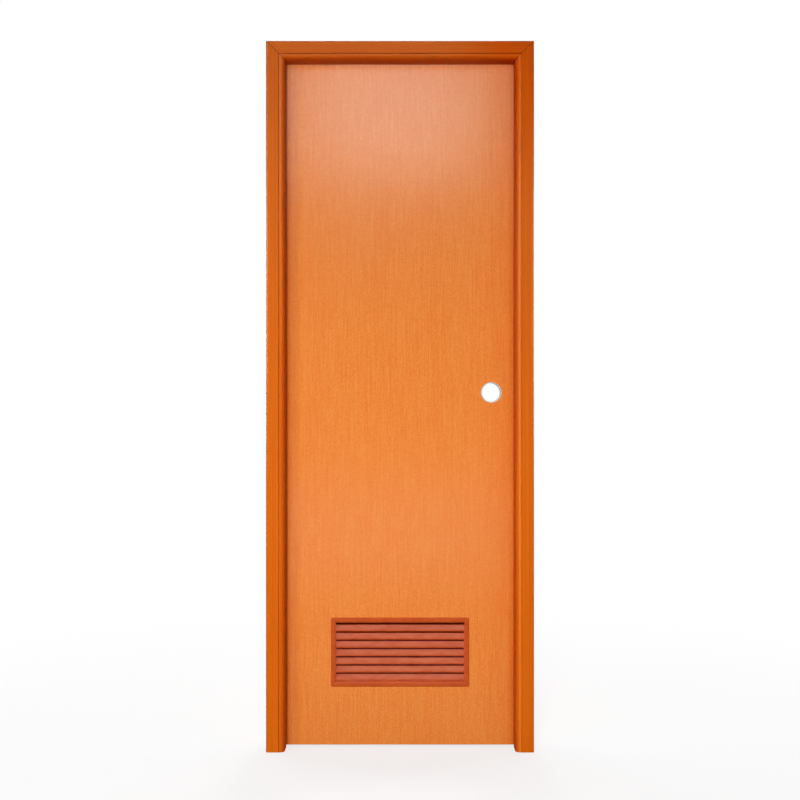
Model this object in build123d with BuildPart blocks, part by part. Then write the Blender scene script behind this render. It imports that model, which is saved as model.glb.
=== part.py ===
from build123d import *
import os
from math import sin, cos, tan, radians, sqrt

os.makedirs("parts", exist_ok=True)

# A louvred PVC door set for a bathroom: a mitred three-sided frame, a flush
# hollow leaf hung on three butt hinges behind the frame's stop, a fixed
# seven-blade louvre low in the leaf and an open, pre-drilled lock hole.
#
# Frame of the model, in millimetres:
#   X = 0   the wall face of the hinge-side jamb, +X towards the lock side
#   Y = 0   the middle of the frame's depth, -Y the front that is looked at
#   Z = 0   the floor

# ---------------------------------------------------------------- dimensions
W, H = 768.0, 2038.0          # frame outside, width and height
DEPTH = 100.0                 # frame depth, front to back
YF, YB = -DEPTH / 2, DEPTH / 2

# frame section: u runs from the wall face inwards, v from front to back
BAND = 35.0                   # flat outer band
GROOVE_W, GROOVE_D = 3.0, 1.5 # V line between band and bead
BEAD_R = 15.0                 # quarter-round inner bead
STOP_U = BAND + GROOVE_W + BEAD_R       # 53, inner edge of the stop
REBATE_U = 38.0               # inner face of the rebate
STOP_V = 60.0                 # front plane to the back of the stop
WALL = 3.0                    # extrusion wall
ARRIS = 5.0                   # rounded outer edge

# leaf
HINGE_GAP, LOCK_GAP, HEAD_GAP, FLOOR_GAP, STOP_GAP = 5.0, 6.5, 5.0, 5.0, 5.0
LX0 = REBATE_U + HINGE_GAP              # 43
LX1 = W - REBATE_U - LOCK_GAP           # 723.5
LZ0 = FLOOR_GAP
LZ1 = H - REBATE_U - HEAD_GAP           # 1995
LY0 = YF + STOP_V + STOP_GAP            # 15, front face
LY1 = YB                                # 50, back face, flush with the frame
SKIN = 3.0
STILE = 40.0                  # hinge stile, top rail and bottom rail
LOCK_STILE = 110.0            # wide enough to carry the lock hole

# louvre
LV_CX, LV_W = W / 2, 402.0
LV_Z0, LV_Z1 = 175.0, 375.0
TRIM_W, TRIM_T = 14.0, 4.5    # moulding round it, on both faces
TRIM_CORNER, TRIM_ROUND = 4.0, 1.5
BEVEL_W, BEVEL_T = 5.0, 2.0   # its inner edge slopes towards the blades
LINER = 3.0
BLADES, PITCH = 7, 24.0
LIP, BLADE_RUN, BLADE_RISE = 3.5, 27.0, 21.0

# lock hole
BORE_X, BORE_Z = 650.0, 1031.0
BORE_R, SLEEVE_R, SLEEVE_PROUD = 27.0, 30.0, 0.5
LATCH_R = 12.5
MID_Y = (LY0 + LY1) / 2

# hinges
AX, AY = (REBATE_U + LX0) / 2, YB + 7.0     # pin axis
HINGE_Z = {"bottom": 240.0, "middle": 1010.0, "top": 1780.0}
PLATE_T, PLATE_H, PLATE_Y0 = 2.0, 100.0, 20.0
KNUCKLE_R, PIN_R, PIN_PLAY = 4.5, 2.25, 0.25
SEG, SEG_GAP = 19.6, 0.5


def save(builder, name):
    builder.part.label = name
    export_step(builder.part, f"parts/{name}.step")


# ------------------------------------------------------------- door frame
def member_section(plane):
    """The frame's hollow section on a plane whose local x is u and whose
    local y is the world's Y."""
    s = sqrt(0.5)
    g0, g1 = BAND, BAND + GROOVE_W
    cv = YF + BEAD_R
    with BuildSketch(plane) as section:
        with BuildLine():
            Polyline((ARRIS, YF), (g0, YF), (g0 + GROOVE_W / 2, YF + GROOVE_D), (g1, YF))
            ThreePointArc((g1, YF), (g1 + BEAD_R * s, cv - BEAD_R * s), (STOP_U, cv))
            Line((STOP_U, cv), (STOP_U, YF + STOP_V - 1))
            ThreePointArc(
                (STOP_U, YF + STOP_V - 1),
                (STOP_U - 1 + s, YF + STOP_V - 1 + s),
                (STOP_U - 1, YF + STOP_V),
            )
            Polyline((STOP_U - 1, YF + STOP_V), (REBATE_U, YF + STOP_V), (REBATE_U, YB - 1))
            ThreePointArc(
                (REBATE_U, YB - 1), (REBATE_U - 1 + s, YB - 1 + s), (REBATE_U - 1, YB)
            )
            Line((REBATE_U - 1, YB), (ARRIS, YB))
            ThreePointArc(
                (ARRIS, YB), (ARRIS - ARRIS * s, YB - ARRIS + ARRIS * s), (0, YB - ARRIS)
            )
            Line((0, YB - ARRIS), (0, YF + ARRIS))
            ThreePointArc(
                (0, YF + ARRIS), (ARRIS - ARRIS * s, YF + ARRIS - ARRIS * s), (ARRIS, YF)
            )
        make_face()
        # front chamber, behind the band and the bead
        with BuildLine():
            Polyline(
                (WALL, YF + 5.5),
                (WALL + 1.5, YF + 4.5),
                (39.0, YF + 4.5),
                (46.5, YF + 7.5),
                (STOP_U - WALL, YF + BEAD_R),
                (STOP_U - WALL, YF + STOP_V - WALL),
                (WALL, YF + STOP_V - WALL),
                close=True,
            )
        make_face(mode=Mode.SUBTRACT)
        # rear chamber, behind the rebate; its wall is thicker at the hinges
        with BuildLine():
            Polyline(
                (WALL, YF + STOP_V),
                (REBATE_U - 4.0, YF + STOP_V),
                (REBATE_U - 4.0, YB - WALL),
                (WALL + 2.0, YB - WALL),
                (WALL, YB - WALL - 2.0),
                close=True,
            )
        make_face(mode=Mode.SUBTRACT)
    return section.sketch


def mitre(corner, a, b):
    """Plane through a corner (x, z) between members whose inward directions
    are a and b; the side of its normal belongs to the member with a."""
    return Plane(origin=(corner[0], 0, corner[1]), z_dir=(b[0] - a[0], 0, b[1] - a[1]))


RIGHT, LEFT, DOWN, UP = (1, 0), (-1, 0), (0, -1), (0, 1)

with BuildPart() as hinge_jamb:
    extrude(member_section(Plane.XY), amount=H)
    split(bisect_by=mitre((0, H), RIGHT, DOWN), keep=Keep.TOP)
    # recesses that take the three hinge plates flush
    with Locations(*[(REBATE_U - PLATE_T / 2, (PLATE_Y0 + YB) / 2, z) for z in HINGE_Z.values()]):
        Box(PLATE_T, YB - PLATE_Y0, PLATE_H, mode=Mode.SUBTRACT)
save(hinge_jamb, "hinge_jamb")

with BuildPart() as lock_jamb:
    extrude(
        member_section(Plane(origin=(W, 0, 0), x_dir=(-1, 0, 0), z_dir=(0, 0, -1))),
        amount=-H,
    )
    split(bisect_by=mitre((W, H), LEFT, DOWN), keep=Keep.TOP)
save(lock_jamb, "lock_jamb")

with BuildPart() as head_jamb:
    extrude(
        member_section(Plane(origin=(0, 0, H), x_dir=(0, 0, -1), z_dir=(1, 0, 0))),
        amount=W,
    )
    split(bisect_by=mitre((0, H), DOWN, RIGHT), keep=Keep.TOP)
    split(bisect_by=mitre((W, H), DOWN, LEFT), keep=Keep.TOP)
save(head_jamb, "head_jamb")

# ------------------------------------------------------------------- leaf
CUT_W, CUT_Z0, CUT_Z1 = (
    LV_W - 2 * TRIM_W + 2 * LINER,
    LV_Z0 + TRIM_W - LINER,
    LV_Z1 - TRIM_W + LINER,
)


def skin_outline(y):
    """The leaf's face sheet at a given Y, with the louvre cut-out and the
    lock hole."""
    with BuildSketch(Plane.XZ.offset(-y)) as outline:
        with Locations(((LX0 + LX1) / 2, (LZ0 + LZ1) / 2)):
            Rectangle(LX1 - LX0, LZ1 - LZ0)
        with Locations((LV_CX, (CUT_Z0 + CUT_Z1) / 2)):
            Rectangle(CUT_W, CUT_Z1 - CUT_Z0, mode=Mode.SUBTRACT)
        with Locations((BORE_X, BORE_Z)):
            Circle(SLEEVE_R, mode=Mode.SUBTRACT)
    return outline.sketch


with BuildPart() as front_skin:
    extrude(skin_outline(LY0), amount=-SKIN)
    fillet(front_skin.faces().sort_by(Axis.Y)[0].outer_wire().edges(), radius=1.0)
save(front_skin, "front_skin")

with BuildPart() as back_skin:
    extrude(skin_outline(LY1 - SKIN), amount=-SKIN)
    fillet(back_skin.faces().sort_by(Axis.Y)[-1].outer_wire().edges(), radius=1.0)
    with Locations(*[(LX0 + PLATE_T / 2, LY1 - SKIN / 2, z) for z in HINGE_Z.values()]):
        Box(PLATE_T, SKIN, PLATE_H, mode=Mode.SUBTRACT)
save(back_skin, "back_skin")

CORE_Y0, CORE_Y1 = LY0 + SKIN, LY1 - SKIN
CORE_T = CORE_Y1 - CORE_Y0

with BuildPart() as hinge_stile:
    with Locations((LX0 + STILE / 2, MID_Y, (LZ0 + LZ1) / 2)):
        Box(STILE, CORE_T, LZ1 - LZ0)
    with Locations(*[(LX0 + PLATE_T / 2, (PLATE_Y0 + CORE_Y1) / 2, z) for z in HINGE_Z.values()]):
        Box(PLATE_T, CORE_Y1 - PLATE_Y0, PLATE_H, mode=Mode.SUBTRACT)
save(hinge_stile, "hinge_stile")

with BuildPart() as lock_stile:
    with Locations((LX1 - LOCK_STILE / 2, MID_Y, (LZ0 + LZ1) / 2)):
        Box(LOCK_STILE, CORE_T, LZ1 - LZ0)
    # seat of the white sleeve, right through
    with BuildSketch(Plane.XZ.offset(-CORE_Y0)):
        with Locations((BORE_X, BORE_Z)):
            Circle(SLEEVE_R)
    extrude(amount=-CORE_T, mode=Mode.SUBTRACT)
    # latch hole from the closing edge into the lock hole
    with BuildSketch(Plane.YZ.offset(BORE_X)):
        with Locations((MID_Y, BORE_Z)):
            Circle(LATCH_R)
    extrude(amount=LX1 - BORE_X, mode=Mode.SUBTRACT)
save(lock_stile, "lock_stile")

for rail_name, zc in (("top_rail", LZ1 - STILE / 2), ("bottom_rail", LZ0 + STILE / 2)):
    with BuildPart() as rail:
        x0, x1 = LX0 + STILE, LX1 - LOCK_STILE
        with Locations(((x0 + x1) / 2, MID_Y, zc)):
            Box(x1 - x0, CORE_T, STILE)
    save(rail, rail_name)

with BuildPart() as lock_bore_sleeve:
    with BuildSketch(Plane.XZ.offset(-(LY0 - SLEEVE_PROUD))):
        with Locations((BORE_X, BORE_Z)):
            Circle(SLEEVE_R)
            Circle(BORE_R, mode=Mode.SUBTRACT)
    extrude(amount=-(LY1 - LY0 + 2 * SLEEVE_PROUD))
    with BuildSketch(Plane.YZ.offset(BORE_X)):
        with Locations((MID_Y, BORE_Z)):
            Circle(LATCH_R)
    extrude(amount=SLEEVE_R + 5, mode=Mode.SUBTRACT)
save(lock_bore_sleeve, "lock_bore_sleeve")

# ----------------------------------------------------------------- louvre
LVX0, LVX1 = LV_CX - LV_W / 2, LV_CX + LV_W / 2
CORNER = {
    ("left", "top"): (LVX0, LV_Z1),
    ("right", "top"): (LVX1, LV_Z1),
    ("left", "bottom"): (LVX0, LV_Z0),
    ("right", "bottom"): (LVX1, LV_Z0),
}
INWARD = {"top": DOWN, "bottom": UP, "left": RIGHT, "right": LEFT}
LV_CZ = (LV_Z0 + LV_Z1) / 2


def trim_ring(out):
    """The louvre's whole moulding on one face of the leaf, before it is cut
    at the mitres. out is -1 on the front face and +1 on the back."""
    face_y = LY0 if out < 0 else LY1
    inner_w, inner_h = LV_W - 2 * TRIM_W, LV_Z1 - LV_Z0 - 2 * TRIM_W
    with BuildPart() as ring:
        with BuildSketch(Plane.XZ.offset(-face_y)):
            with Locations((LV_CX, LV_CZ)):
                RectangleRounded(LV_W, LV_Z1 - LV_Z0, TRIM_CORNER)
        extrude(amount=-out * TRIM_T)
        proud = ring.faces().sort_by(Axis.Y)[0 if out < 0 else -1]
        fillet(proud.outer_wire().edges(), radius=TRIM_ROUND)
        with BuildSketch(Plane.XZ.offset(-face_y)):
            with Locations((LV_CX, LV_CZ)):
                Rectangle(inner_w, inner_h)
        extrude(amount=-out * TRIM_T, mode=Mode.SUBTRACT)
        with BuildSketch(Plane.XZ.offset(-(face_y + out * (TRIM_T - BEVEL_T)))):
            with Locations((LV_CX, LV_CZ)):
                Rectangle(inner_w, inner_h)
        with BuildSketch(Plane.XZ.offset(-(face_y + out * TRIM_T))):
            with Locations((LV_CX, LV_CZ)):
                Rectangle(inner_w + 2 * BEVEL_W, inner_h + 2 * BEVEL_W)
        loft(mode=Mode.SUBTRACT)
    return ring.part


for face, out in (("front", -1), ("back", 1)):
    moulding = trim_ring(out)
    for side, a in INWARD.items():
        ends = ("left", "right") if side in ("top", "bottom") else ("top", "bottom")
        with BuildPart() as bar:
            add(moulding)
            if side in ("top", "bottom"):
                split(
                    bisect_by=Plane.XY.offset(LV_CZ),
                    keep=Keep.TOP if side == "top" else Keep.BOTTOM,
                )
            for end in ends:
                key = (end, side) if side in ("top", "bottom") else (side, end)
                split(bisect_by=mitre(CORNER[key], a, INWARD[end]), keep=Keep.TOP)
        save(bar, f"louvre_{face}_trim_{side}")

IX0, IX1 = LVX0 + TRIM_W, LVX1 - TRIM_W
IZ0, IZ1 = LV_Z0 + TRIM_W, LV_Z1 - TRIM_W

for name, x0, x1, z0, z1 in (
    ("louvre_liner_left", IX0 - LINER, IX0, CUT_Z0, CUT_Z1),
    ("louvre_liner_right", IX1, IX1 + LINER, CUT_Z0, CUT_Z1),
    ("louvre_liner_top", IX0, IX1, IZ1, CUT_Z1),
    ("louvre_liner_bottom", IX0, IX1, CUT_Z0, IZ0),
):
    with BuildPart() as liner:
        with Locations(((x0 + x1) / 2, MID_Y, (z0 + z1) / 2)):
            Box(x1 - x0, LY1 - LY0, z1 - z0)
    save(liner, name)

BLADE_Z0 = IZ0 + 1.0
for k in range(BLADES):
    z0 = BLADE_Z0 + k * PITCH
    with BuildPart() as blade:
        with BuildSketch(Plane.YZ.offset(IX0)):
            with BuildLine():
                Polyline(
                    (LY0, z0),
                    (LY0, z0 + LIP),
                    (LY0 + BLADE_RUN, z0 + LIP + BLADE_RISE),
                    (LY0 + BLADE_RUN, z0 + BLADE_RISE),
                    close=True,
                )
            make_face()
        extrude(amount=IX1 - IX0)
        fillet(
            [e for e in blade.edges().filter_by(Axis.X) if abs(e.center().Y - LY0) < 0.01],
            radius=1.0,
        )
    save(blade, f"louvre_blade_{k + 1}")

# ----------------------------------------------------------------- hinges
def barrel_z(zc, k):
    """Low end of barrel k of the five on a hinge centred at zc."""
    return zc - PLATE_H / 2 + k * (SEG + SEG_GAP)


for which, zc in HINGE_Z.items():
    # jamb plate with the three outer barrels
    with BuildPart() as jamb_plate:
        with Locations((REBATE_U - PLATE_T / 2, (PLATE_Y0 + YB) / 2, zc)):
            Box(PLATE_T, YB - PLATE_Y0, PLATE_H)
        for k in (0, 2, 4):
            z0 = barrel_z(zc, k)
            with Locations((REBATE_U - PLATE_T / 2, (YB + AY) / 2 - 0.5, z0 + SEG / 2)):
                Box(PLATE_T, AY - YB + 1, SEG)
            with Locations((AX, AY, z0 + SEG / 2)):
                Cylinder(KNUCKLE_R, SEG)
        with Locations((AX, AY, zc)):
            Cylinder(PIN_R, PLATE_H + 10, mode=Mode.SUBTRACT)
    save(jamb_plate, f"{which}_hinge_jamb_plate")

    # leaf plate with the two inner barrels
    with BuildPart() as leaf_plate:
        with Locations((LX0 + PLATE_T / 2, (PLATE_Y0 + YB) / 2, zc)):
            Box(PLATE_T, YB - PLATE_Y0, PLATE_H)
        for k in (1, 3):
            z0 = barrel_z(zc, k)
            with Locations((LX0 + PLATE_T / 2, (YB + AY) / 2 - 0.5, z0 + SEG / 2)):
                Box(PLATE_T, AY - YB + 1, SEG)
            with Locations((AX, AY, z0 + SEG / 2)):
                Cylinder(KNUCKLE_R, SEG)
        with Locations((AX, AY, zc)):
            Cylinder(PIN_R + PIN_PLAY, PLATE_H + 10, mode=Mode.SUBTRACT)
    save(leaf_plate, f"{which}_hinge_leaf_plate")

    # pin with a small domed head at each end
    with BuildPart() as pin:
        with Locations((AX, AY, zc)):
            Cylinder(PIN_R, PLATE_H + 1.0)
        for s in (-1, 1):
            with Locations((AX, AY, zc + s * (PLATE_H / 2 + 1.75))):
                Cylinder(KNUCKLE_R, 2.5)
        fillet(pin.edges().filter_by(GeomType.CIRCLE).group_by(Axis.Z)[0], radius=1.2)
        fillet(pin.edges().filter_by(GeomType.CIRCLE).group_by(Axis.Z)[-1], radius=1.2)
    save(pin, f"{which}_hinge_pin")
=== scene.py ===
import math

import bmesh
import bpy
from mathutils import Matrix, Vector


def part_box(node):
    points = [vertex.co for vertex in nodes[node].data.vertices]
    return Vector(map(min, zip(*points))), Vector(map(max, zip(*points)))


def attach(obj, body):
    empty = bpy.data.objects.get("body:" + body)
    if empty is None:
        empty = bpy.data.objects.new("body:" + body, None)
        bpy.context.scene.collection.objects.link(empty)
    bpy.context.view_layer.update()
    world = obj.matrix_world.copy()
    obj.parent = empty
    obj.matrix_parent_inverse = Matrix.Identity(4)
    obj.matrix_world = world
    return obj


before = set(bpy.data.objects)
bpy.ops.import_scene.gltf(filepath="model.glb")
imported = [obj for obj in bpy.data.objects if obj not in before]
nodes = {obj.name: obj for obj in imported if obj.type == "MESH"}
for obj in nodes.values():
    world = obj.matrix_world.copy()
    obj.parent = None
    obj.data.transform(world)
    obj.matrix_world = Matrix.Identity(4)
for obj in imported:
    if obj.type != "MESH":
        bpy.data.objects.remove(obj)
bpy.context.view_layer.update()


# ------------------------------------------------------------ node helpers
class Tree:
    """A material's node tree, with short calls for the nodes used here."""

    def __init__(self, name):
        self.mat = bpy.data.materials.new(name)
        self.mat.use_nodes = True
        self.nt = self.mat.node_tree
        self.nt.nodes.clear()
        self.out = self.add("ShaderNodeOutputMaterial")
        self.bsdf = self.add("ShaderNodeBsdfPrincipled")
        self.link(self.bsdf.outputs["BSDF"], self.out.inputs["Surface"])
        self.co = self.add("ShaderNodeTexCoord").outputs["Object"]

    def add(self, kind, **props):
        n = self.nt.nodes.new(kind)
        for k, v in props.items():
            setattr(n, k, v)
        return n

    def link(self, a, b):
        self.nt.links.new(a, b)

    def put(self, socket, value):
        if isinstance(value, bpy.types.NodeSocket):
            self.link(value, socket)
        else:
            socket.default_value = value

    def scaled(self, scale, offset=(0, 0, 0), rotation=(0, 0, 0), source=None):
        n = self.add("ShaderNodeMapping", vector_type="POINT")
        self.link(source or self.co, n.inputs["Vector"])
        n.inputs["Location"].default_value = offset
        n.inputs["Rotation"].default_value = rotation
        n.inputs["Scale"].default_value = scale
        return n.outputs["Vector"]

    def noise(self, vector, detail=2.0, rough=0.5, distortion=0.0, scale=1.0):
        n = self.add("ShaderNodeTexNoise", noise_dimensions="3D")
        self.link(vector, n.inputs["Vector"])
        n.inputs["Scale"].default_value = scale
        n.inputs["Detail"].default_value = detail
        n.inputs["Roughness"].default_value = rough
        n.inputs["Distortion"].default_value = distortion
        return n.outputs["Fac"]

    def ramp(self, value, x0, x1, y0=0.0, y1=1.0):
        n = self.add("ShaderNodeMapRange", clamp=True, interpolation_type="SMOOTHSTEP")
        self.link(value, n.inputs["Value"])
        n.inputs["From Min"].default_value = x0
        n.inputs["From Max"].default_value = x1
        n.inputs["To Min"].default_value = y0
        n.inputs["To Max"].default_value = y1
        return n.outputs["Result"]

    def math(self, op, a, b=0.0, clamp=False):
        n = self.add("ShaderNodeMath", operation=op, use_clamp=clamp)
        self.put(n.inputs[0], a)
        self.put(n.inputs[1], b)
        return n.outputs[0]

    def mix(self, fac, a, b, blend="MIX"):
        n = self.add("ShaderNodeMix", data_type="RGBA", blend_type=blend)
        self.put(n.inputs["Factor"], fac)
        self.put(n.inputs["A"], a)
        self.put(n.inputs["B"], b)
        return n.outputs["Result"]

    def bump(self, height, strength, distance):
        n = self.add("ShaderNodeBump")
        self.link(height, n.inputs["Height"])
        n.inputs["Strength"].default_value = strength
        n.inputs["Distance"].default_value = distance
        return n.outputs["Normal"]

    def split(self):
        n = self.add("ShaderNodeSeparateXYZ")
        self.link(self.co, n.inputs["Vector"])
        return n.outputs

    def finish(self, color, roughness, normal=None, **plain):
        self.put(self.bsdf.inputs["Base Color"], color)
        self.put(self.bsdf.inputs["Roughness"], roughness)
        if normal is not None:
            self.link(normal, self.bsdf.inputs["Normal"])
        for k, v in plain.items():
            self.bsdf.inputs[k.replace("_", " ")].default_value = v
        return self.mat


def lin(r, g, b):
    """An 8-bit display colour as scene-linear RGBA."""
    f = lambda c: c / 12.92 if c <= 0.04045 else ((c + 0.055) / 1.055) ** 2.4
    return (f(r / 255), f(g / 255), f(b / 255), 1.0)


# --------------------------------------------------------------- materials
def leaf_pvc(name, along="Z"):
    """Orange-brown film with a fine printed wood grain: thin soft fibres,
    short pores and a fine speckle, lightly embossed."""
    t = Tree(name)

    # scale per axis: the first for across the grain, the second along it
    def grain(across, length, offset):
        s = [1 / across] * 3
        s["XYZ".index(along)] = 1 / length
        return t.scaled(s, offset)

    fibre = t.noise(grain(0.0019, 0.050, (3.1, 7.7, 1.3)), detail=2.0, rough=0.55)
    streak = t.noise(grain(0.0034, 0.150, (11.3, 2.9, 5.1)), detail=2.0, rough=0.55, distortion=0.15)
    drift = t.noise(grain(0.075, 0.600, (1.7, 9.2, 4.4)), detail=2.0, rough=0.5)
    cloud = t.noise(t.scaled((38, 38, 26), (5, 3, 8)), detail=3.0, rough=0.6)
    speck = t.noise(t.scaled((430, 430, 400), (2, 6, 4)), detail=1.0, rough=0.6)
    pore = t.noise(grain(0.0013, 0.016, (8.8, 4.2, 6.6)), detail=1.0, rough=0.5)
    pore = t.ramp(pore, 0.60, 0.72)

    light, dark, deep = lin(241, 148, 71), lin(230, 122, 45), lin(208, 99, 32)
    c = t.mix(t.ramp(streak, 0.28, 0.72), lin(236, 133, 56), lin(239, 148, 70))
    c = t.mix(t.ramp(fibre, 0.38, 0.74, 0.0, 0.62), c, lin(232, 121, 47))
    c = t.mix(t.ramp(drift, 0.35, 0.70, 0.0, 0.16), c, light)
    c = t.mix(t.ramp(cloud, 0.40, 0.75, 0.0, 0.20), c, dark)
    c = t.mix(t.math("MULTIPLY", pore, 0.15), c, deep)
    c = t.mix(1.0, c, t.mix(t.ramp(speck, 0.28, 0.72), (0.925, 0.79, 0.60, 1), (1, 1.06, 1.1, 1)), "MULTIPLY")

    # painted shade: the film is darkened a little towards the leaf's two long
    # edges, and a thin painted shadow of the stop lies along them, heavier on the hinge side
    at = t.split()
    near, far = t.math("SUBTRACT", at["X"], 0.053), t.math("SUBTRACT", 0.715, at["X"])
    edge = t.math("MINIMUM", near, far)
    # painted shade near both long edges, reaching further in on the lock side
    c = t.mix(t.ramp(edge, 0.0, 0.021, 0.90, 0.0), c, t.mix(1.0, c, (0.85, 0.67, 0.40, 1), "MULTIPLY"))
    c = t.mix(t.ramp(far, 0.0, 0.110, 0.62, 0.0), c, t.mix(1.0, c, (0.93, 0.86, 0.66, 1), "MULTIPLY"))
    # painted shadow of the stop on the leaf's front face
    stop_shadow = t.math("ADD", t.ramp(near, 0.0008, 0.0062, 0.62, 0.0), t.ramp(far, 0.0, 0.0030, 0.30, 0.0))
    stop_shadow = t.math("ADD", stop_shadow, t.ramp(near, 0.0040, 0.0165, 0.12, 0.0))
    c = t.mix(t.math("MULTIPLY", stop_shadow, t.ramp(at["Y"], 0.0170, 0.0175, 1.0, 0.0)), c, lin(118, 30, 1))

    rough = t.math("ADD", t.ramp(fibre, 0.3, 0.7, 0.19, 0.235), t.math("MULTIPLY", pore, 0.06))
    relief = t.math("SUBTRACT", t.math("MULTIPLY", fibre, 0.6), t.math("MULTIPLY", pore, 0.7))
    n = t.bump(relief, 0.12, 0.0003)
    return t.finish(c, rough, n, IOR=1.5)


def frame_pvc(name, along="Z", groove_shade=0.3, satin=0.52, bead_highlight_amount=0.0, groove_at=0.0365, reveal_shade_tint=(0.93, 0.66, 0.4, 1), crest_rub=0.62):
    """Satin orange-brown extruded PVC, with fine die lines along its length.
    Painted shade darkens the V groove, a thin dark joint runs through the
    mitres, painted shade deepens the colour towards the inside of the
    doorway, and a painted highlight can pale the crest of the bead."""
    t = Tree(name)

    def grain(across, length, offset):
        s = [1 / across] * 3
        s["XYZ".index(along)] = 1 / length
        return t.scaled(s, offset)

    die = t.noise(grain(0.0030, 0.9, (2.2, 6.1, 3.3)), detail=2.0, rough=0.5)
    soft = t.noise(grain(0.020, 0.35, (4.2, 1.1, 9.3)), detail=3.0, rough=0.55)
    speck = t.noise(t.scaled((420, 420, 420), (3, 1, 8)), detail=1.0, rough=0.6)
    base, dark, light = lin(222, 108, 5), lin(214, 98, 2), lin(228, 116, 10)
    c = t.mix(t.ramp(soft, 0.30, 0.70), dark, light)
    c = t.mix(0.5, base, c)
    c = t.mix(t.ramp(die, 0.34, 0.70, 0.0, 0.80), c, lin(212, 93, 2))
    c = t.mix(1.0, c, t.mix(t.ramp(speck, 0.28, 0.72), (0.90, 0.82, 0.50, 1), (1, 1.04, 1.1, 1)), "MULTIPLY")

    # distance from the outer edge, on each of the three members
    at = t.split()
    left = at["X"]
    right = t.math("SUBTRACT", 0.768, at["X"])
    top = t.math("SUBTRACT", 2.038, at["Z"])
    u = t.math("MINIMUM", t.math("MINIMUM", left, right), top)
    # painted shade in the V groove on the front face
    groove = t.ramp(t.math("ABSOLUTE", t.math("SUBTRACT", u, groove_at)), 0.0006, 0.0022, 1.0, 0.0)
    groove = t.math("MULTIPLY", groove, t.ramp(at["Y"], -0.0465, -0.0455, 1.0, 0.0))
    c = t.mix(t.math("MULTIPLY", groove, groove_shade), c, lin(104, 30, 3))
    # painted highlight on the crest of the bead
    bead_crest_highlight = t.math("MULTIPLY", t.ramp(u, 0.0360, 0.0372), t.ramp(u, 0.0420, 0.0450, bead_highlight_amount, 0.0))
    c = t.mix(bead_crest_highlight, c, lin(237, 130, 34))
    # painted shade on the inner bead and the reveal, towards the inside of the doorway
    reveal_shade = t.math("MULTIPLY", t.ramp(u, 0.040, 0.0515), t.ramp(at["Y"], 0.0095, 0.0105, 1.0, 0.0))
    c = t.mix(t.math("MULTIPLY", reveal_shade, 0.75), c, t.mix(1.0, c, reveal_shade_tint, "MULTIPLY"))

    # painted shade: the colour is darkened towards the top of the lock side, which is also made less shiny
    deep = t.math("MULTIPLY", t.ramp(at["X"], 0.46, 0.74), t.ramp(at["Z"], 1.40, 2.02))
    c = t.mix(deep, c, t.mix(1.0, c, (0.98, 0.74, 0.30, 1), "MULTIPLY"))

    seam = t.math(
        "MINIMUM",
        t.math("ABSOLUTE", t.math("SUBTRACT", left, top)),
        t.math("ABSOLUTE", t.math("SUBTRACT", right, top)),
    )
    grime = t.math("MULTIPLY", t.ramp(seam, 0.0006, 0.0019, SEAM_GRIME, 0.0), t.ramp(top, 0.070, 0.072, 1.0, 0.0))
    c = t.mix(grime, c, lin(96, 28, 3))

    # satin on the flats, burnished on the arrises and on the crest of the bead
    crest = t.math("MULTIPLY", t.ramp(u, 0.0372, 0.0380), t.ramp(u, 0.042, 0.050, 1.0, 0.0))
    arris = t.math("MULTIPLY", t.ramp(u, 0.0044, 0.0056, 1.0, 0.0), t.ramp(t.math("ABSOLUTE", at["Y"]), 0.0444, 0.0454))
    rubbed = t.math("MAXIMUM", arris, t.math("MULTIPLY", crest, crest_rub))
    rough = t.math("SUBTRACT", t.ramp(speck, 0.3, 0.7, satin, satin + 0.06), t.math("MULTIPLY", rubbed, satin - 0.19))
    n = t.bump(t.math("ADD", t.math("MULTIPLY", die, 0.6), t.math("MULTIPLY", speck, 0.2)), 0.08, 0.0002)
    sheen = t.math("ADD", t.math("MULTIPLY", rubbed, 0.30), 0.17)
    t.link(t.math("MULTIPLY", sheen, t.ramp(deep, 0.0, 1.0, 1.0, 0.25)), t.bsdf.inputs["Specular IOR Level"])
    return t.finish(c, rough, n, IOR=1.5)


SEAM_GRIME = 0.60


def louvre_pvc(name, blades=False):
    """Terracotta moulded plastic with a fine matt mould texture. On the
    blades a pale film of dust and painted sheen lies on the slopes that face
    up, and painted shade darkens the slots deep in."""
    t = Tree(name)
    speck = t.noise(t.scaled((900, 900, 900)), detail=2.0, rough=0.6)
    soft = t.noise(t.scaled((25, 60, 60), (3, 1, 7)), detail=3.0, rough=0.55)
    base, dark, light = lin(198, 79, 25), lin(187, 69, 19), lin(208, 91, 34)
    c = t.mix(t.ramp(soft, 0.30, 0.70), dark, light)
    c = t.mix(0.55, base, c)
    c = t.mix(t.ramp(speck, 0.45, 0.75, 0.0, 0.25), c, light)
    if blades:
        up = t.add("ShaderNodeSeparateXYZ")
        t.link(t.add("ShaderNodeNewGeometry").outputs["Normal"], up.inputs["Vector"])
        facing_up = t.ramp(up.outputs["Z"], 0.45, 0.75)
        y = t.split()["Y"]
        slot_shade = t.ramp(y, 0.0316, 0.0332)
        lip = t.ramp(y, 0.0158, 0.0174)
        # dust and painted sheen: a pale film on the slopes that face up, behind the lip and outside the slots' painted
        # shade
        dust_and_sheen = t.math("MULTIPLY", t.math("MULTIPLY", facing_up, lip), t.ramp(soft, 0.25, 0.75, 0.11, 0.16))
        c = t.mix(t.math("MULTIPLY", dust_and_sheen, t.math("SUBTRACT", 1.0, slot_shade)), c, lin(226, 200, 188))
        # painted shade deep in the slots, where the blade above casts its shadow
        c = t.mix(t.math("MULTIPLY", t.math("MULTIPLY", facing_up, slot_shade), 0.80), c, lin(84, 14, 1))
    else:
        c = t.mix(1.0, c, (0.93, 0.90, 0.60, 1), "MULTIPLY")
    rough = t.ramp(speck, 0.3, 0.7, 0.42, 0.52)
    n = t.bump(speck, 0.15, 0.0002)
    return t.finish(c, rough, n, IOR=1.5, Specular_IOR_Level=0.3 if blades else 0.42)


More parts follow.
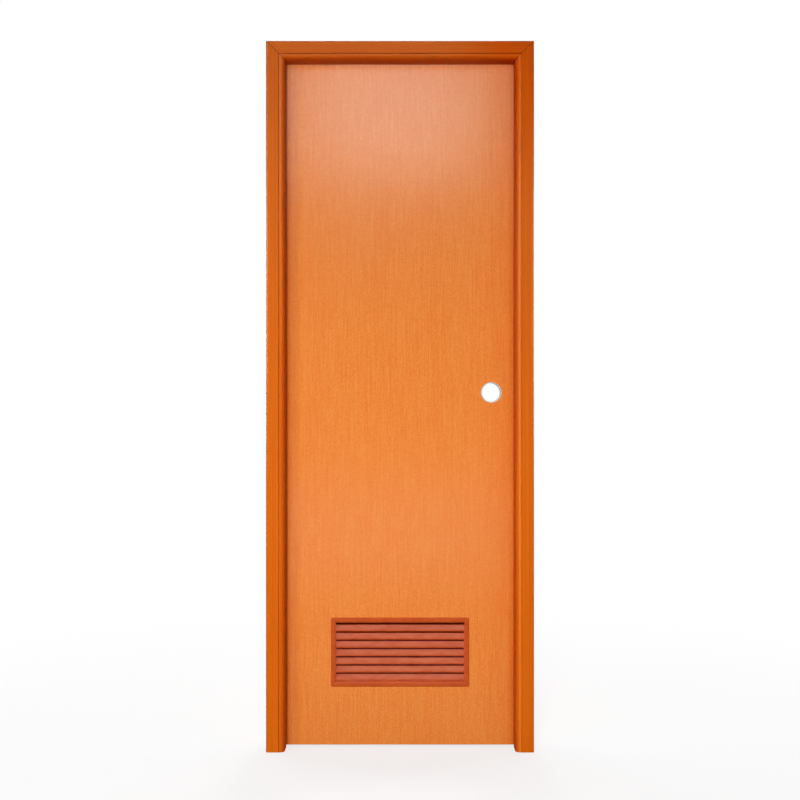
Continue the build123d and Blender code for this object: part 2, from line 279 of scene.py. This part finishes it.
def white_pvc(name):
    """Bare white plastic edge of the drilled hole, lightly scuffed."""
    t = Tree(name)
    ring = t.noise(t.scaled((350, 60, 350)), detail=2.0, rough=0.6)
    soft = t.noise(t.scaled((60, 60, 60)), detail=2.0, rough=0.5)
    c = t.mix(t.ramp(ring, 0.35, 0.75), lin(206, 206, 204), lin(184, 184, 182))
    c = t.mix(t.ramp(soft, 0.45, 0.75, 0.0, 0.35), c, lin(172, 169, 164))
    rough = t.ramp(ring, 0.3, 0.7, 0.40, 0.55)
    n = t.bump(ring, 0.15, 0.0002)
    return t.finish(c, rough, n, IOR=1.5)


def hinge_steel(name, along="Z"):
    """Satin stainless steel brushed along the plate."""
    t = Tree(name)
    s = [2200, 2200, 2200]
    s["XYZ".index(along)] = 45
    brush = t.noise(t.scaled(s, (1, 5, 2)), detail=3.0, rough=0.6)
    cloud = t.noise(t.scaled((60, 60, 60)), detail=2.0, rough=0.5)
    c = t.mix(t.ramp(brush, 0.3, 0.7), lin(176, 174, 170), lin(205, 203, 199))
    c = t.mix(t.ramp(cloud, 0.5, 0.8, 0.0, 0.3), c, lin(160, 157, 152))
    rough = t.ramp(brush, 0.3, 0.7, 0.24, 0.36)
    n = t.bump(brush, 0.12, 0.0001)
    return t.finish(c, rough, n, Metallic=1.0)


M = {
    "leaf": leaf_pvc("leaf_pvc", "Z"),
    "leaf_rail": leaf_pvc("leaf_pvc_rail", "X"),
    "jamb": frame_pvc("frame_pvc_upright", "Z"),
    "lock_jamb": frame_pvc("frame_pvc_lock_side", "Z", groove_shade=0.0, bead_highlight_amount=0.6),
    "head": frame_pvc("frame_pvc_head", "X", groove_shade=0.6, satin=0.42, groove_at=0.0371, reveal_shade_tint=(0.80, 0.50, 0.15, 1), crest_rub=0.15),
    "louvre": louvre_pvc("louvre_pvc"),
    "blade": louvre_pvc("louvre_pvc_blades", blades=True),
    "white": white_pvc("bore_white"),
    "steel": hinge_steel("hinge_steel"),
}


def dress(node, mat):
    o = nodes[node]
    o.data.materials.clear()
    o.data.materials.append(mat)


for name in nodes:
    if name == "hinge_jamb":
        dress(name, M["jamb"])
    elif name == "lock_jamb":
        dress(name, M["lock_jamb"])
    elif name == "head_jamb":
        dress(name, M["head"])
    elif name.startswith("louvre_blade"):
        dress(name, M["blade"])
    elif name.startswith("louvre_"):
        dress(name, M["louvre"])
    elif name == "lock_bore_sleeve":
        dress(name, M["white"])
    elif "_hinge_" in name:
        dress(name, M["steel"])
    elif name.endswith("_rail"):
        dress(name, M["leaf_rail"])
    else:
        dress(name, M["leaf"])


# ------------------------------------------------------------ hinge screws
def screw_mesh(name, radius=0.0037, dome=0.00045, cross=0.0021, arm=0.00055, deep=0.0009):
    """A countersunk screw head seen from outside: a shallow dome with a cross
    recess. Local +Z is out of the surface, which is at z = 0."""
    bm = bmesh.new()
    rings, steps = [], 40
    for r, z in ((radius, 0.0), (radius * 0.97, dome * 0.35), (radius * 0.88, dome * 0.75)):
        rings.append(
            [bm.verts.new((r * math.cos(2 * math.pi * i / steps), r * math.sin(2 * math.pi * i / steps), z)) for i in range(steps)]
        )
    for a, b in zip(rings, rings[1:]):
        for i in range(steps):
            j = (i + 1) % steps
            bm.faces.new((a[i], a[j], b[j], b[i]))
    # cross-shaped opening in the top, with walls and a floor
    w, l = arm, cross
    plus = [(l, -w), (l, w), (w, w), (w, l), (-w, l), (-w, w), (-l, w), (-l, -w), (-w, -w), (-w, -l), (w, -l), (w, -w)]
    top = [bm.verts.new((x, y, dome)) for x, y in plus]
    low = [bm.verts.new((x * 0.8, y * 0.8, dome - deep)) for x, y in plus]
    k = len(plus)
    for i in range(k):
        j = (i + 1) % k
        bm.faces.new((top[j], top[i], low[i], low[j]))
    bm.faces.new(low)
    edges = [bm.edges.get((rings[-1][i], rings[-1][(i + 1) % steps])) for i in range(steps)]
    edges += [bm.edges.get((top[i], top[(i + 1) % k])) for i in range(k)]
    bmesh.ops.triangle_fill(bm, edges=edges, use_beauty=True)
    # shank cone down into the plate, so that the head is closed
    tip = [bm.verts.new((0.0016 * math.cos(2 * math.pi * i / steps), 0.0016 * math.sin(2 * math.pi * i / steps), -0.0018)) for i in range(steps)]
    for i in range(steps):
        j = (i + 1) % steps
        bm.faces.new((rings[0][j], rings[0][i], tip[i], tip[j]))
    bm.faces.new(list(reversed(tip)))
    bmesh.ops.recalc_face_normals(bm, faces=bm.faces)
    me = bpy.data.meshes.new(name)
    bm.to_mesh(me)
    bm.free()
    for p in me.polygons:
        p.use_smooth = False
    return me


def add_screws(which, side):
    """Three screws in one hinge plate, as one piece."""
    lo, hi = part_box(f"{which}_hinge_{side}_plate")
    zc = (lo.z + hi.z) / 2
    y = 0.035
    x = 0.038 if side == "jamb" else 0.043
    out = Vector((1, 0, 0)) if side == "jamb" else Vector((-1, 0, 0))
    bm = bmesh.new()
    for i, dz in enumerate((-0.034, 0.0, 0.034)):
        me = screw_mesh("tmp_screw")
        rot = out.to_track_quat("Z", "Y").to_matrix().to_4x4()
        spin = Matrix.Rotation(math.radians(20 + 37 * i), 4, "Z")
        dy = -0.005 if i == 1 else 0.003
        me.transform(Matrix.Translation((x, y + dy, zc + dz)) @ rot @ spin)
        bm.from_mesh(me)
        bpy.data.meshes.remove(me)
    name = f"{which}_hinge_{side}_screws"
    mesh = bpy.data.meshes.new(name)
    bm.to_mesh(mesh)
    bm.free()
    o = bpy.data.objects.new(name, mesh)
    bpy.context.scene.collection.objects.link(o)
    mesh.materials.append(M["steel"])
    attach(o, "frame" if side == "jamb" else "leaf")
    return o


for which in ("bottom", "middle", "top"):
    for side in ("jamb", "leaf"):
        add_screws(which, side)


# ------------------------------------------------------------------- stage
def floor():
    """A round pale floor that fades into the white surround. It looks nearly
    white to the camera and gives the object a weaker bounce of light."""
    bm = bmesh.new()
    bmesh.ops.create_circle(bm, cap_ends=True, radius=14.0, segments=96)
    me = bpy.data.meshes.new("floor")
    bm.to_mesh(me)
    bm.free()
    o = bpy.data.objects.new("floor", me)
    o.location = (0.384, 0.0, -0.0005)
    bpy.context.scene.collection.objects.link(o)
    t = Tree("pale_floor")
    t.bsdf.inputs["Base Color"].default_value = (0.9, 0.9, 0.9, 1)
    t.bsdf.inputs["Roughness"].default_value = 0.7
    t.bsdf.inputs["Specular IOR Level"].default_value = 0.1
    glow = t.add("ShaderNodeEmission")
    glow.inputs["Color"].default_value = (1, 1, 1, 1)
    path = t.add("ShaderNodeLightPath")
    t.link(t.ramp(path.outputs["Is Camera Ray"], 0.0, 1.0, FLOOR_BOUNCE, 1.0), glow.inputs["Strength"])
    length = t.add("ShaderNodeVectorMath", operation="LENGTH")
    t.link(t.co, length.inputs[0])
    fade = t.ramp(length.outputs["Value"], 0.3, 2.6, FLOOR_GLOW, 1.0)
    mixer = t.add("ShaderNodeMixShader")
    t.link(fade, mixer.inputs["Fac"])
    t.link(t.bsdf.outputs["BSDF"], mixer.inputs[1])
    t.link(glow.outputs["Emission"], mixer.inputs[2])
    t.link(mixer.outputs["Shader"], t.out.inputs["Surface"])
    me.materials.append(t.mat)
    return o


FLOOR_BOUNCE = 0.06
FLOOR_GLOW = 0.72
ground = floor()

world = bpy.data.worlds.new("studio")
bpy.context.scene.world = world
world.use_nodes = True
wn = world.node_tree
wn.nodes.clear()
w_out = wn.nodes.new("ShaderNodeOutputWorld")
w_mix = wn.nodes.new("ShaderNodeMixShader")
w_cam = wn.nodes.new("ShaderNodeBackground")
w_lit = wn.nodes.new("ShaderNodeBackground")
w_path = wn.nodes.new("ShaderNodeLightPath")
w_cam.inputs["Color"].default_value = (1, 1, 1, 1)
w_cam.inputs["Strength"].default_value = 1.0
w_lit.inputs["Color"].default_value = (1.0, 1.0, 1.0, 1)
w_lit.inputs["Strength"].default_value = 0.08
wn.links.new(w_path.outputs["Is Camera Ray"], w_mix.inputs["Fac"])
wn.links.new(w_lit.outputs[0], w_mix.inputs[1])
wn.links.new(w_cam.outputs[0], w_mix.inputs[2])
wn.links.new(w_mix.outputs[0], w_out.inputs["Surface"])


def softbox(name, at, aim, size, power, spread=180, glossy=True, diffuse=True):
    d = bpy.data.lights.new(name, "AREA")
    d.shape = "RECTANGLE"
    d.size, d.size_y = size
    d.energy = power
    d.spread = math.radians(spread)
    o = bpy.data.objects.new(name, d)
    bpy.context.scene.collection.objects.link(o)
    o.location = at
    o.rotation_euler = (Vector(aim) - Vector(at)).to_track_quat("-Z", "Y").to_euler()
    o.visible_camera = False
    o.visible_glossy = glossy
    o.visible_diffuse = diffuse
    return o


softbox("key_softbox", (0.15, -3.4, 1.9), (0.384, 0, 0.72), (0.36, 0.24), 22.4, spread=98, glossy=False)
softbox("left_softbox", (-1.7, -2.8, 1.7), (0.384, 0, 0.55), (0.8, 1.0), 9.6, spread=110)
softbox("right_softbox", (2.6, -2.6, 1.7), (0.384, 0, 0.55), (0.8, 1.0), 2.3, spread=110)
glare = softbox("high_softbox", (0.33, -3.0, 2.57), (0.384, 0.015, 1.7), (1.0, 0.74), 13.0, diffuse=False)
softbox("low_softbox", (0.30, -3.2, 0.30), (0.384, 0, 0.05), (1.4, 0.3), 5.4, spread=90, glossy=False)
softbox("left_strip", (-1.25, -3.0, 2.1), (0.384, 0, 1.25), (0.16, 2.5), 20, diffuse=False)
softbox("right_strip", (2.2, -3.0, 2.2), (0.384, 0, 1.25), (0.16, 2.2), 15, diffuse=False)
# the glare reaches the leaf's top edge, as if nothing but the floor were in its way
blockers = bpy.data.collections.new("glare_blockers")
blockers.objects.link(ground)
glare.light_linking.blocker_collection = blockers

# behind, beside and above, so that the other sides are lit too
softbox("back_key", (0.60, 3.4, 2.0), (0.384, 0, 0.6), (0.9, 0.6), 24.0, spread=110, glossy=False)
softbox("back_left", (-1.6, 2.9, 1.7), (0.384, 0, 0.8), (0.8, 1.0), 9.0, spread=110)
softbox("back_right", (2.4, 2.9, 1.7), (0.384, 0, 0.8), (0.8, 1.0), 6.0, spread=110)
softbox("side_left", (-3.4, 2.0, 1.5), (0.0, 0, 1.0), (1.0, 1.6), 26.0, spread=110)
softbox("side_right", (4.2, 2.0, 1.5), (0.768, 0, 1.0), (1.0, 1.6), 26.0, spread=110)
softbox("top_softbox", (0.384, 1.2, 4.6), (0.384, 0, 2.0), (1.2, 1.2), 8.0, spread=110)

# ------------------------------------------------------------------ camera
cam_data = bpy.data.cameras.new("camera")
cam_data.sensor_width = 36.0
cam_data.lens = 56.60
cam = bpy.data.objects.new("camera", cam_data)
bpy.context.scene.collection.objects.link(cam)
cam.location = (0.3840, -3.65, 1.009)
cam.rotation_euler = (math.radians(90), 0, 0)
bpy.context.scene.camera = cam

bpy.context.scene.view_settings.view_transform = "Standard"
bpy.context.scene.view_settings.look = "None"
